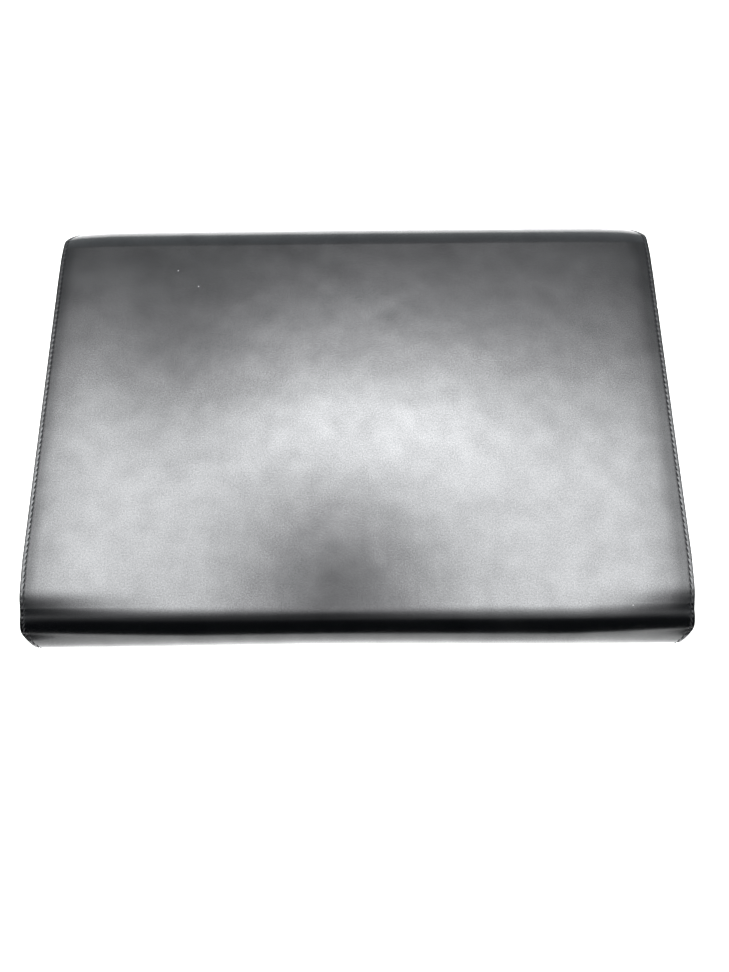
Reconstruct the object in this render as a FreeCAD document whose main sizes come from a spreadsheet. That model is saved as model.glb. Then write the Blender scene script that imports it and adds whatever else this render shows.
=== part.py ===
"""A flat leather document briefcase, lying on its closed flap with its back panel up.

One skin of leather makes the front panel, the bottom fold and the back panel. It goes on over the mouth as a
soft half-round fold and comes down over the front as the flap. Stiff boards and a lining lie inside the skin,
and a bellows gusset is sewn into each side. The fold is leather that bends everywhere; here it is cut into
narrow strips, each hinged to the next along the outer surface, so that it rolls out flat as the flap opens.

Frame: X across the case, +Y from the bottom fold towards the mouth, +Z up from the flap's outer face.
"""

import math
import os

import FreeCAD
import Part
import Sketcher

SIZES = {
    # overall
    "case_width": 360.0,
    "case_length": 258.0,
    "case_thick": 40.0,
    # layers
    "skin": 1.4,
    "stiffener": 1.0,
    "lining": 0.7,
    "layer_gap": 0.1,
    "board_margin": 8.0,
    # flap
    "flap_reach": 178.0,
    "flap_corner": 26.0,
    "flap_gap": 0.5,
    # the fold over the mouth
    "fold_bends": 4.0,
    "bend_gap": 0.5,
    "lining_overrun": 4.0,
    "mouth_setback": 3.0,
    # seams
    "seam_inset": 2.3,
    "groove_width": 0.9,
    "groove_depth": 0.5,
    "thread_width": 0.6,
    "thread_height": 0.4,
    # gussets and divider
    "gusset_skin": 1.1,
    "gusset_flange": 6.0,
    "gusset_depth": 16.0,
    "gusset_apex_skin": 1.54,
    "gusset_foot_depth": 0.44,
    "divider_thick": 1.6,
    "divider_gap": 0.4,
    # mouth facing
    "facing_width": 26.0,
    "facing_thick": 0.9,
    # hidden magnets
    "magnet_diameter": 18.0,
    "magnet_spacing": 220.0,
    "magnet_inset": 22.0,
    "magnet_gap": 0.3,
    # small clearances
    "lining_inset": 0.2,
    "overcut": 1.0,
}

doc = FreeCAD.newDocument("briefcase")
sheet = doc.addObject("Spreadsheet::Sheet", "Sizes")
for row, (alias, size) in enumerate(SIZES.items(), start=1):
    sheet.set(f"A{row}", alias)
    sheet.set(f"B{row}", str(size))
    sheet.setAlias(f"B{row}", alias)
doc.recompute()

# Expressions that several pieces share. Each is worked out from the sheet.
HALF_WIDTH = "Sizes.case_width / 2"
FLAP_THICK = "(Sizes.skin + Sizes.stiffener + Sizes.lining)"
FRONT_Z = f"({FLAP_THICK} + Sizes.flap_gap)"
FOLD_RADIUS = "(Sizes.case_thick / 2)"
FOLD_Y = f"(Sizes.case_length / 2 - {FOLD_RADIUS})"
BOTTOM_RADIUS = f"((Sizes.case_thick - {FRONT_Z}) / 2)"
BOTTOM_Y = f"({BOTTOM_RADIUS} - Sizes.case_length / 2)"
BOTTOM_Z = f"({FRONT_Z} + {BOTTOM_RADIUS})"
MOUTH_Y = f"({FOLD_Y} - Sizes.mouth_setback)"
BOARD_OUT = "(Sizes.skin + Sizes.layer_gap)"
LINING_OUT = f"({BOARD_OUT} + Sizes.stiffener + Sizes.layer_gap)"
ROOM_OUT = f"({LINING_OUT} + Sizes.lining + Sizes.layer_gap)"
ROOM_RADIUS = f"({BOTTOM_RADIUS} - {ROOM_OUT})"
WALL_X = f"({HALF_WIDTH} - Sizes.gusset_flange)"
APEX_X = f"({WALL_X} - Sizes.gusset_depth)"
FOOT_X = f"({WALL_X} - Sizes.gusset_foot_depth)"
BEND = "(180 / Sizes.fold_bends)"
SEAM_X = f"({HALF_WIDTH} - Sizes.seam_inset)"
THREAD_DEPTH = "(Sizes.groove_depth - Sizes.thread_height)"
FLAP_END_Y = f"({FOLD_Y} - Sizes.flap_reach)"
MAGNET_Y = f"({FLAP_END_Y} + Sizes.magnet_inset)"


def number(expression):
    """The value of an expression over the sheet's cells."""
    return float(sheet.evalExpression(expression))


def new_body(name):
    body = doc.addObject("PartDesign::Body", name)
    body.Label = name
    return body


def new_sketch(body, plane, name, offset="0"):
    """A sketch on one of the body's own origin planes, moved along that plane's normal by offset."""
    sketch = body.newObject("Sketcher::SketchObject", name)
    support = next(f for f in body.Origin.OriginFeatures if f.Role == plane)
    sketch.AttachmentSupport = [(support, "")]
    sketch.MapMode = "FlatFace"
    sketch.setExpression("AttachmentOffset.Base.z", offset)
    return sketch


def bind(sketch, kind, *where, size):
    """Adds a dimension to a sketch and ties it to an expression."""
    index = sketch.addConstraint(Sketcher.Constraint(kind, *where, number(size)))
    sketch.setExpression(f"Constraints[{index}]", size)


def polygon(sketch, corners):
    """A closed outline of straight lines, each corner placed by two expressions."""
    points = [FreeCAD.Vector(number(x), number(y), 0) for x, y in corners]
    count = len(points)
    lines = [Part.LineSegment(points[i], points[(i + 1) % count]) for i in range(count)]
    sketch.addGeometry(lines, False)
    for i in range(count):
        sketch.addConstraint(Sketcher.Constraint("Coincident", i, 2, (i + 1) % count, 1))
    for i, (x, y) in enumerate(corners):
        bind(sketch, "DistanceX", -1, 1, i, 1, size=x)
        bind(sketch, "DistanceY", -1, 1, i, 1, size=y)


def rectangle(sketch, low_x, high_x, low_y, high_y):
    polygon(sketch, [(low_x, low_y), (high_x, low_y), (high_x, high_y), (low_x, high_y)])


def u_outline(sketch, depth, thick, end_y=MOUTH_Y, back_y=FOLD_Y):
    """The section of one layer of the case: back panel, half-round bottom and front panel.

    depth is how far the layer lies under the outer face, and thick is its own thickness.
    """
    outer = f"({BOTTOM_RADIUS} - {depth})"
    inner = f"({outer} - {thick})"
    centre = FreeCAD.Vector(number(BOTTOM_Y), number(BOTTOM_Z), 0)
    back, front = number(back_y), number(end_y)

    def half_circle(radius):
        circle = Part.Circle(centre, FreeCAD.Vector(0, 0, 1), radius)
        return Part.ArcOfCircle(circle, math.pi / 2, 3 * math.pi / 2)

    def level(y_from, y_to, z):
        return Part.LineSegment(FreeCAD.Vector(y_from, z, 0), FreeCAD.Vector(y_to, z, 0))

    def upright(y, z_from, z_to):
        return Part.LineSegment(FreeCAD.Vector(y, z_from, 0), FreeCAD.Vector(y, z_to, 0))

    big, small = number(outer), number(inner)
    y, z = centre.x, centre.y
    sketch.addGeometry([
        level(back, y, z + big),
        half_circle(big),
        level(y, front, z - big),
        upright(front, z - big, z - small),
        level(front, y, z - small),
        half_circle(small),
        level(y, back, z + small),
        upright(back, z + small, z + big),
    ], False)
    for first, first_end, second, second_end in (
        (0, 2, 1, 1), (1, 2, 2, 1), (4, 2, 5, 2), (5, 1, 6, 1),
    ):
        sketch.addConstraint(Sketcher.Constraint("Tangent", first, first_end, second, second_end))
    for first, second in ((2, 3), (3, 4), (6, 7), (7, 0)):
        sketch.addConstraint(Sketcher.Constraint("Coincident", first, 2, second, 1))
    for line in (0, 2, 4, 6):
        sketch.addConstraint(Sketcher.Constraint("Horizontal", line))
    for line in (3, 7):
        sketch.addConstraint(Sketcher.Constraint("Vertical", line))
    sketch.addConstraint(Sketcher.Constraint("Coincident", 5, 3, 1, 3))
    bind(sketch, "DistanceX", -1, 1, 1, 3, size=BOTTOM_Y)
    bind(sketch, "DistanceY", -1, 1, 1, 3, size=BOTTOM_Z)
    bind(sketch, "Radius", 1, size=outer)
    bind(sketch, "Radius", 5, size=inner)
    bind(sketch, "DistanceX", -1, 1, 2, 2, size=end_y)
    bind(sketch, "DistanceX", -1, 1, 0, 1, size=back_y)


def pad(body, sketch, length, name="Pad", middle=False):
    feature = body.newObject("PartDesign::Pad", name)
    feature.Profile = sketch
    feature.setExpression("Length", length)
    feature.Midplane = middle
    return feature


def pocket(body, sketch, length, name="Pocket", middle=False):
    feature = body.newObject("PartDesign::Pocket", name)
    feature.Profile = sketch
    feature.setExpression("Length", length)
    feature.Midplane = middle
    return feature


def mirror_across_middle(body, features):
    """Repeats features on the other side of the case's middle plane."""
    mirrored = body.newObject("PartDesign::Mirrored", "Mirrored")
    mirrored.Originals = features
    plane = next(f for f in body.Origin.OriginFeatures if f.Role == "YZ_Plane")
    mirrored.MirrorPlane = (plane, [""])
    body.Tip = mirrored
    return mirrored


def plate(name, low_x, high_x, low_y, high_y, low_z, thick):
    """A flat rectangular layer."""
    body = new_body(name)
    sketch = new_sketch(body, "XY_Plane", name + "_outline", low_z)
    rectangle(sketch, low_x, high_x, low_y, high_y)
    pad(body, sketch, thick)
    return body


def case_skin(half_strip):
    """The outer leather, with a sewing groove round each side and one along the mouth."""
    body = new_body("case_blank")
    sketch = new_sketch(body, "YZ_Plane", "skin_section")
    u_outline(sketch, "0", "Sizes.skin")
    pad(body, sketch, "Sizes.case_width", middle=True)

    side = new_sketch(body, "YZ_Plane", "side_groove_section", SEAM_X)
    u_outline(side, "0", "Sizes.groove_depth")
    side_groove = pocket(body, side, "Sizes.groove_width", "side_groove", middle=True)
    mirror_across_middle(body, [side_groove])

    mouth = new_sketch(body, "XY_Plane", "mouth_groove_outline", FRONT_Z)
    inner_end = f"({SEAM_X} - Sizes.groove_width)"
    rectangle(
        mouth,
        f"-{inner_end}",
        inner_end,
        f"{MOUTH_Y} - Sizes.seam_inset - Sizes.groove_width / 2",
        f"{MOUTH_Y} - Sizes.seam_inset + Sizes.groove_width / 2",
    )
    mouth_groove = pocket(body, mouth, "Sizes.groove_depth", "mouth_groove")
    mouth_groove.Reversed = True
    body.Tip = mouth_groove
    return fuse("case_skin", body, half_strip)


def seam_thread(name, side):
    """The thread round one side of the case, from the mouth round the bottom to the top fold."""
    body = new_body(name)
    sketch = new_sketch(body, "YZ_Plane", name + "_section", f"{side} * {SEAM_X}")
    u_outline(sketch, THREAD_DEPTH, "Sizes.thread_height")
    pad(body, sketch, "Sizes.thread_width", middle=True)
    return body


def mouth_thread():
    """The thread along the mouth of the front panel."""
    end = f"({SEAM_X} - Sizes.groove_width * 2)"
    middle = f"({MOUTH_Y} - Sizes.seam_inset)"
    return plate(
        "mouth_thread",
        f"-{end}",
        end,
        f"{middle} - Sizes.thread_width / 2",
        f"{middle} + Sizes.thread_width / 2",
        f"{FRONT_Z} + {THREAD_DEPTH}",
        "Sizes.thread_height",
    )


def case_lining():
    body = new_body("case_lining")
    sketch = new_sketch(body, "YZ_Plane", "lining_section")
    u_outline(sketch, LINING_OUT, "Sizes.lining", back_y=f"({FOLD_Y} + Sizes.lining_overrun)")
    pad(body, sketch, "Sizes.case_width", middle=True)
    return body


def case_boards():
    """Stiff boards between skin and lining. The front one has a hole for each magnet."""
    end_x = f"({HALF_WIDTH} - Sizes.board_margin)"
    back = plate(
        "back_board", f"-{end_x}", end_x, BOTTOM_Y, FOLD_Y,
        f"Sizes.case_thick - {BOARD_OUT} - Sizes.stiffener", "Sizes.stiffener",
    )
    front = plate(
        "front_board", f"-{end_x}", end_x, BOTTOM_Y, f"{MOUTH_Y} - Sizes.board_margin",
        f"{FRONT_Z} + {BOARD_OUT}", "Sizes.stiffener",
    )
    magnet_holes(front, f"{FRONT_Z} + {BOARD_OUT}")
    bottom = revolved_strip(
        "bottom_board", f"{BOTTOM_RADIUS} - {BOARD_OUT}", "Sizes.stiffener",
        BOTTOM_Y, BOTTOM_Z, "90", "180", half_width=end_x,
    )
    return back, front, bottom


def revolved_strip(name, radius, thick, centre_y, centre_z, start, turn, half_width=HALF_WIDTH):
    """A curved strip of leather or board: a flat section turned about a line along X.

    start is the angle at which the strip begins, from +Y towards +Z, and turn is how far it goes on.
    """
    body = new_body(name)
    sketch = new_sketch(body, "XY_Plane", name + "_section")
    rectangle(sketch, f"-{half_width}", half_width, f"{radius} - {thick}", radius)
    turned = body.newObject("PartDesign::Revolution", "Revolution")
    turned.Profile = sketch
    turned.ReferenceAxis = (sketch, ["H_Axis"])
    turned.setExpression("Angle", turn)
    body.Tip = turned
    body.setExpression("Placement.Rotation.Axis.x", "1")
    body.setExpression("Placement.Rotation.Axis.y", "0")
    body.setExpression("Placement.Rotation.Axis.z", "0")
    body.setExpression("Placement.Rotation.Angle", f"{start} * 1 deg")
    body.setExpression("Placement.Base.y", centre_y)
    body.setExpression("Placement.Base.z", centre_z)
    return body


def fold_strip(name, high, low, radius, thick):
    """One strip of the fold, between two angles measured at the fold's centre from +Y towards +Z."""
    return revolved_strip(name, radius, thick, FOLD_Y, FOLD_RADIUS, low, f"({high}) - ({low})")


def fold_strips():
    """The half-round fold over the mouth, cut into strips that are hinged along the outer surface.

    The first and last strips are half as long as the others, and each belongs to the panel it runs into. Only
    the skins of those two are made here, because the linings of the panels reach far enough by themselves.
    """
    half_gap = f"(Sizes.bend_gap / {FOLD_RADIUS} * 90 / pi)"
    first = fold_strip("fold_start", "90", f"(90 - {BEND} / 2 + {half_gap})", FOLD_RADIUS, "Sizes.skin")
    last = fold_strip("fold_end", f"(-90 + {BEND} / 2 - {half_gap})", "-90", FOLD_RADIUS, "Sizes.skin")
    lining_radius = f"({FOLD_RADIUS} - {BOARD_OUT})"
    strips = []
    for i in range(1, int(number("Sizes.fold_bends"))):
        high = f"(90 - {BEND} * {i - 0.5} - {half_gap})"
        low = f"(90 - {BEND} * {i + 0.5} + {half_gap})"
        strips.append(fold_strip(f"fold_skin_{i}", high, low, FOLD_RADIUS, "Sizes.skin"))
        strips.append(fold_strip(f"fold_lining_{i}", high, low, lining_radius, "Sizes.lining"))
    return first, last, strips


def fuse(name, *parts):
    result = doc.addObject("Part::MultiFuse", name)
    result.Label = name
    result.Shapes = list(parts)
    return result


def gusset_section(body, name, y, apex):
    """One cross-section of a gusset's wall: two flanges and the fold between them."""
    top = f"(Sizes.case_thick - {ROOM_OUT})"
    low = f"({FRONT_Z} + {ROOM_OUT})"
    middle = f"(({top} + {low}) / 2)"
    skin = "Sizes.gusset_skin"
    sketch = new_sketch(body, "XZ_Plane", name, f"-({y})")
    polygon(sketch, [
        (HALF_WIDTH, top),
        (WALL_X, top),
        (apex, middle),
        (WALL_X, low),
        (HALF_WIDTH, low),
        (HALF_WIDTH, f"{low} + {skin}"),
        (f"{WALL_X} + {skin}", f"{low} + {skin}"),
        (f"{apex} + Sizes.gusset_apex_skin", middle),
        (f"{WALL_X} + {skin}", f"{top} - {skin}"),
        (HALF_WIDTH, f"{top} - {skin}"),
    ])
    return sketch


def gusset_end(body):
    """The flat half-round wall that closes a gusset inside the bottom fold."""
    centre = FreeCAD.Vector(number(BOTTOM_Y), number(BOTTOM_Z), 0)
    up = FreeCAD.Vector(0, number(ROOM_RADIUS), 0)
    circle = Part.Circle(centre, FreeCAD.Vector(0, 0, 1), number(ROOM_RADIUS))
    sketch = new_sketch(body, "YZ_Plane", "end_outline", WALL_X)
    sketch.addGeometry([
        Part.ArcOfCircle(circle, math.pi / 2, 3 * math.pi / 2),
        Part.LineSegment(centre - up, centre + up),
    ], False)
    sketch.addConstraint(Sketcher.Constraint("Coincident", 0, 2, 1, 1))
    sketch.addConstraint(Sketcher.Constraint("Coincident", 1, 2, 0, 1))
    sketch.addConstraint(Sketcher.Constraint("Vertical", 1))
    sketch.addConstraint(Sketcher.Constraint("PointOnObject", 0, 3, 1))
    bind(sketch, "DistanceX", -1, 1, 0, 3, size=BOTTOM_Y)
    bind(sketch, "DistanceY", -1, 1, 0, 3, size=BOTTOM_Z)
    bind(sketch, "Radius", 0, size=ROOM_RADIUS)
    pad(body, sketch, "Sizes.gusset_skin", "End")


def gusset_flange(body):
    """The curved flange by which a gusset is sewn under the bottom fold."""
    low_y = f"{BOTTOM_Y} - {ROOM_RADIUS}"
    sketch = new_sketch(body, "XY_Plane", "flange_section", BOTTOM_Z)
    rectangle(sketch, WALL_X, HALF_WIDTH, low_y, f"{low_y} + Sizes.gusset_skin")
    ends = [FreeCAD.Vector(number(x), number(BOTTOM_Y), 0) for x in (WALL_X, HALF_WIDTH)]
    axis = sketch.addGeometry(Part.LineSegment(*ends), True)
    sketch.addConstraint(Sketcher.Constraint("Horizontal", axis))
    bind(sketch, "DistanceY", -1, 1, axis, 1, size=BOTTOM_Y)
    turned = body.newObject("PartDesign::Revolution", "Flange")
    turned.Profile = sketch
    turned.ReferenceAxis = (sketch, ["Axis0"])
    turned.setExpression("Angle", "180")
    turned.Midplane = True
    body.Tip = turned


def gussets():
    """A folded leather wall in each side: a flange under each panel and a bellows fold between them.

    The fold is deepest at the mouth and runs out to a flat wall where the bottom fold begins.
    """
    body = new_body("right_gusset")
    mouth = gusset_section(body, "mouth_section", MOUTH_Y, APEX_X)
    foot = gusset_section(body, "foot_section", BOTTOM_Y, FOOT_X)
    wall = body.newObject("PartDesign::AdditiveLoft", "Wall")
    wall.Profile = mouth
    wall.Sections = [foot]
    wall.Ruled = True
    gusset_end(body)
    gusset_flange(body)

    left = doc.addObject("Part::Mirroring", "left_gusset")
    left.Label = "left_gusset"
    left.Source = body
    left.Normal = FreeCAD.Vector(1, 0, 0)
    return body, left


def divider():
    """The leaf between the two compartments, sewn to the fold of each gusset."""
    body = new_body("divider")
    sketch = new_sketch(body, "XY_Plane", "divider_outline", f"{BOTTOM_Z} - Sizes.divider_thick / 2")
    mouth_x = f"({APEX_X} - Sizes.divider_gap)"
    foot_x = f"({FOOT_X} - Sizes.divider_gap)"
    foot_y = f"({BOTTOM_Y} - {ROOM_RADIUS} + Sizes.divider_gap)"
    polygon(sketch, [
        (f"-{mouth_x}", MOUTH_Y),
        (f"-{foot_x}", BOTTOM_Y),
        (f"-{foot_x}", foot_y),
        (foot_x, foot_y),
        (foot_x, BOTTOM_Y),
        (mouth_x, MOUTH_Y),
    ])
    pad(body, sketch, "Sizes.divider_thick")
    return body


def mouth_facing():
    """A band of skin leather inside the mouth of the front panel."""
    end_x = f"({APEX_X} + Sizes.gusset_depth / 2)"
    return plate(
        "mouth_facing", f"-{end_x}", end_x, f"{MOUTH_Y} - Sizes.facing_width", MOUTH_Y,
        f"{FRONT_Z} + {ROOM_OUT}", "Sizes.facing_thick",
    )


def magnet_holes(body, base_z):
    """Two round holes for magnets through a board's own thickness."""
    sketch = new_sketch(body, "XY_Plane", body.Label + "_holes", base_z)
    for side in (-1, 1):
        centre = FreeCAD.Vector(side * number("Sizes.magnet_spacing / 2"), number(MAGNET_Y), 0)
        radius = "Sizes.magnet_diameter / 2 + Sizes.magnet_gap"
        circle = sketch.addGeometry(Part.Circle(centre, FreeCAD.Vector(0, 0, 1), number(radius)), False)
        bind(sketch, "DistanceX", -1, 1, circle, 3, size=f"{side} * Sizes.magnet_spacing / 2")
        bind(sketch, "DistanceY", -1, 1, circle, 3, size=MAGNET_Y)
        bind(sketch, "Radius", circle, size=radius)
    holes = pocket(body, sketch, "Sizes.stiffener", "holes")
    holes.Reversed = True
    body.Tip = holes


def magnets(name, base_z):
    """A pair of thin disc magnets, one on each side of the middle."""
    pair = []
    for side, word in ((-1, "left"), (1, "right")):
        disc = doc.addObject("Part::Cylinder", f"{name}_{word}")
        disc.Label = f"{name}_{word}"
        disc.setExpression("Radius", "Sizes.magnet_diameter / 2")
        disc.setExpression("Height", "Sizes.stiffener")
        disc.setExpression("Placement.Base.x", f"{side} * Sizes.magnet_spacing / 2")
        disc.setExpression("Placement.Base.y", MAGNET_Y)
        disc.setExpression("Placement.Base.z", base_z)
        pair.append(disc)
    return pair


def rounded_plate(name, inset, low_z, thick, fold_y=FOLD_Y):
    """The flap's flat outline, drawn in by inset, with its two free corners rounded."""
    end_x = f"({HALF_WIDTH} - {inset})"
    body = plate(name, f"-{end_x}", end_x, f"{FLAP_END_Y} + {inset}", fold_y, low_z, thick)
    doc.recompute()
    slab = body.Tip
    free_y = number(f"{FLAP_END_Y} + {inset}")
    corners = [
        f"Edge{n}" for n, edge in enumerate(slab.Shape.Edges, start=1)
        if edge.BoundBox.ZLength > 1e-6 and abs(edge.CenterOfMass.y - free_y) < 1e-6
    ]
    rounding = body.newObject("PartDesign::Fillet", "corners")
    rounding.Base = (slab, corners)
    rounding.setExpression("Radius", f"Sizes.flap_corner - {inset}")
    body.Tip = rounding
    return body


def cut(name, base, tool):
    result = doc.addObject("Part::Cut", name)
    result.Label = name
    result.Base = base
    result.Tool = tool
    return result


def flap(half_strip):
    """The flap's flat part: skin, board, lining, magnets and the thread round its edge."""
    inner = "(Sizes.seam_inset + Sizes.{0}_width / 2)"
    outer = "(Sizes.seam_inset - Sizes.{0}_width / 2)"
    beyond = f"({FOLD_Y} + Sizes.overcut)"
    well_beyond = f"({beyond} + Sizes.overcut)"
    groove = cut(
        "flap_groove",
        rounded_plate("groove_outer", outer.format("groove"), "0", "Sizes.groove_depth", beyond),
        rounded_plate("groove_inner", inner.format("groove"), "0", "Sizes.groove_depth", well_beyond),
    )
    grooved = cut("flap_grooved", rounded_plate("flap_blank", "0", "0", "Sizes.skin"), groove)
    skin = fuse("flap_skin", grooved, half_strip)
    thread = cut(
        "flap_thread",
        rounded_plate("thread_outer", outer.format("thread"), THREAD_DEPTH, "Sizes.thread_height"),
        rounded_plate("thread_inner", inner.format("thread"), THREAD_DEPTH, "Sizes.thread_height", beyond),
    )
    board = rounded_plate(
        "flap_board", "Sizes.board_margin", "Sizes.skin", "Sizes.stiffener",
        f"{FOLD_Y} - Sizes.board_margin",
    )
    magnet_holes(board, "Sizes.skin")
    lining = rounded_plate(
        "flap_lining", "Sizes.lining_inset", "Sizes.skin + Sizes.stiffener", "Sizes.lining",
        f"({FOLD_Y} + Sizes.lining_overrun)",
    )
    return skin, thread, board, lining, *magnets("flap_magnet", "Sizes.skin")


def build():
    """Makes every sub-part and returns them in order."""
    fold_start, fold_end, strips = fold_strips()
    pieces = [case_skin(fold_start), case_lining(), *case_boards()]
    pieces += [seam_thread("right_seam_thread", "1"), seam_thread("left_seam_thread", "-1"), mouth_thread()]
    pieces += [*gussets(), divider(), mouth_facing()]
    pieces += magnets("front_magnet", f"{FRONT_Z} + {BOARD_OUT}")
    pieces += strips
    pieces += flap(fold_end)
    return pieces


def check(pieces):
    """Stops if any object failed to compute or any sub-part is not a sound solid."""
    doc.recompute()
    for item in doc.Objects:
        if any(word in item.State for word in ("Invalid", "Error")):
            raise RuntimeError(f"{item.Label} failed: {item.State}")
    for piece in pieces:
        shape = piece.Shape
        if shape.isNull() or not shape.isValid() or not shape.Solids:
            raise RuntimeError(f"{piece.Label} is not a valid solid")


def export(pieces):
    os.makedirs("parts", exist_ok=True)
    for piece in pieces:
        piece.Shape.exportStep(os.path.join("parts", piece.Label + ".step"))
        print(f"{piece.Label}: {len(piece.Shape.Solids)} solid, {piece.Shape.Volume:.1f} mm3")


PIECES = build()
check(PIECES)
export(PIECES)
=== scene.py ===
"""The looks of the leather briefcase: one black leather skin, its stitches, painted edges, gussets and lining.

The outer leather is thought of as one flat sheet that is wrapped round the case. s is the distance along the
sheet, from the flap's free edge, over the fold, down the back panel and round the bottom to the mouth, and x is
the distance across. Every piece of leather, thread and edge paint is laid out on that sheet and then wrapped.
All lengths are in metres.
"""
import math
import random

import bmesh
import bpy
from mathutils import Matrix, Vector


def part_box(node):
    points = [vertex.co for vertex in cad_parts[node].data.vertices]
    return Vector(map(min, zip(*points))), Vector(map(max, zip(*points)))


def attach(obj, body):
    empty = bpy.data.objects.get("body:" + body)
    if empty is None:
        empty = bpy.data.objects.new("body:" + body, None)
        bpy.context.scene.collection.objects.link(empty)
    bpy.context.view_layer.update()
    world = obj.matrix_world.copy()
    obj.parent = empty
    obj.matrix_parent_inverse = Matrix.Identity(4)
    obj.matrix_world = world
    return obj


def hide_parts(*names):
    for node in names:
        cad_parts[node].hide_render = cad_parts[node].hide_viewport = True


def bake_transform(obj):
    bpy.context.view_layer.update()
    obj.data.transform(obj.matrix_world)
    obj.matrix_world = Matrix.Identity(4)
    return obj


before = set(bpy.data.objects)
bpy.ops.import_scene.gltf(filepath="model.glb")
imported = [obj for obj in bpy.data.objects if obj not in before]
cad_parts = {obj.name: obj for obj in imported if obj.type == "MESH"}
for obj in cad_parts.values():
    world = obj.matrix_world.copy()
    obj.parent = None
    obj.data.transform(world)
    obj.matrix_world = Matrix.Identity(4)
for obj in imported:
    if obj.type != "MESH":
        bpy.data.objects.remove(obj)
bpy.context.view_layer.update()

MM = 0.001
scene = bpy.context.scene

# ---------------------------------------------------------------- sizes, most of them from the CAD nodes

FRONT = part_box("case_skin")[0].z
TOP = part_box("back_board")[1].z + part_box("front_board")[0].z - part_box("case_skin")[0].z
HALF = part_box("case_skin")[1].x
FOLD_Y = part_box("back_board")[1].y
TURN_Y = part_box("back_board")[0].y
MOUTH_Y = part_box("mouth_facing")[1].y
FLAP_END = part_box("flap_skin")[0].y
FOLD_R = TOP / 2
TURN_R = (TOP - FRONT) / 2
MOUTH_RUN = MOUTH_Y - TURN_Y
CORNER = 26 * MM
MOUTH_CORNER = 3 * MM
LEAST_CORNER = 0.3 * MM

# thicknesses, and how far below the outer surface the gussets' flanges begin
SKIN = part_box("flap_board")[0].z
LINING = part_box("flap_lining")[1].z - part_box("flap_lining")[0].z
BOARD = 0.95 * MM
GUSSET = 1.1 * MM
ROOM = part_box("left_gusset")[0].z - FRONT

# how thick the painted edge is on the flap, on the fold over the mouth and on the case
FLAP_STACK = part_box("flap_lining")[1].z
FOLD_STACK = FOLD_R * 2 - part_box("fold_lining_1")[1].z + LINING
CASE_STACK = ROOM + GUSSET

# how far the seam lies from the edge, and how far apart its stitches are
SEAM = HALF - (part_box("right_seam_thread")[0].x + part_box("right_seam_thread")[1].x) / 2
PITCH = 3.3 * MM

# distances along the sheet
S_FOLD = FOLD_Y - FLAP_END
S_BACK = S_FOLD + math.pi * FOLD_R
S_TURN = S_BACK + FOLD_Y - TURN_Y
S_FRONT = S_TURN + math.pi * TURN_R
S_MOUTH = S_FRONT + MOUTH_Y - TURN_Y
# the fold over the mouth bends in four equal parts
BEND = (S_BACK - S_FOLD) / 4


# ---------------------------------------------------------------- the wrapped sheet

def smooth(low, high, value):
    """0 below low, 1 above high and a soft step between them."""
    t = min(max((value - low) / (high - low), 0.0), 1.0)
    return t * t * (3 - 2 * t)


def soft_over(value, blur):
    """The part of a value above 0, with a rounded corner at 0."""
    return (value + math.sqrt(value * value + blur * blur)) / 2


def between(keys, s):
    """A value that moves softly from one (place, value) key to the next."""
    if s <= keys[0][0]:
        return keys[0][1]
    for (s0, v0), (s1, v1) in zip(keys, keys[1:]):
        if s <= s1:
            return v0 + (v1 - v0) * smooth(s0, s1, s)
    return keys[-1][1]


def track(s):
    """The outer surface at s: its y and z, and the y and z of its outward normal."""
    if s <= S_FOLD:
        return FLAP_END + s, 0.0, 0.0, -1.0
    if s <= S_BACK:
        a = (s - S_FOLD) / FOLD_R - math.pi / 2
        return FOLD_Y + FOLD_R * math.cos(a), FOLD_R + FOLD_R * math.sin(a), math.cos(a), math.sin(a)
    if s <= S_TURN:
        return FOLD_Y - (s - S_BACK), TOP, 0.0, 1.0
    if s <= S_FRONT:
        a = (s - S_TURN) / TURN_R + math.pi / 2
        centre_z = FRONT + TURN_R
        return TURN_Y + TURN_R * math.cos(a), centre_z + TURN_R * math.sin(a), math.cos(a), math.sin(a)
    return TURN_Y + s - S_FRONT, FRONT, 0.0, -1.0


def fold_s(degrees):
    """The place on the fold over the mouth whose normal has turned this far from the back panel's."""
    return S_BACK - math.radians(degrees) * FOLD_R


def turn_s(degrees):
    """The place on the bottom fold whose normal has turned this far from the back panel's."""
    return S_TURN + math.radians(degrees) * TURN_R


# How far the sewn edges pull in sideways where they go round the folds.
PULL_KEYS = [
    (S_FOLD - 40 * MM, 0.0), (fold_s(165), 1.4 * MM), (fold_s(125), 4.4 * MM), (fold_s(55), 4.4 * MM),
    (fold_s(15), 0.3 * MM), (S_BACK + 10 * MM, -0.4 * MM), (S_BACK + 22 * MM, -0.5 * MM),
    (S_TURN - 28 * MM, -0.5 * MM), (S_TURN - 8 * MM, 0.1 * MM), (turn_s(5), 0.3 * MM), (turn_s(52), -0.2 * MM),
    (turn_s(96), 4.4 * MM), (turn_s(130), 2.8 * MM), (turn_s(175), 1.2 * MM),
    (S_FRONT + 40 * MM, 0.0),
]
# How far the sewn edges sink below the panel, which has a board behind it.
DIP = 0.7 * MM
DIP_REACH = 34 * MM
DIP_KEYS = [
    (0.0, 0.12 * MM), (S_FOLD, 0.12 * MM), (fold_s(90), 0.9 * MM), (S_BACK, DIP), (S_TURN, DIP),
    (turn_s(90), -0.1 * MM), (S_FRONT, 0.12 * MM), (S_MOUTH, 0.12 * MM),
]
# The board stops short of the seam, and from there the leather slopes down to it. True is the right side.
STEP_REACH = {False: 7.5 * MM, True: 9.5 * MM}
STEP_SLOPE = 0.065
STEP_BLUR = 1.2 * MM
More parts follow.
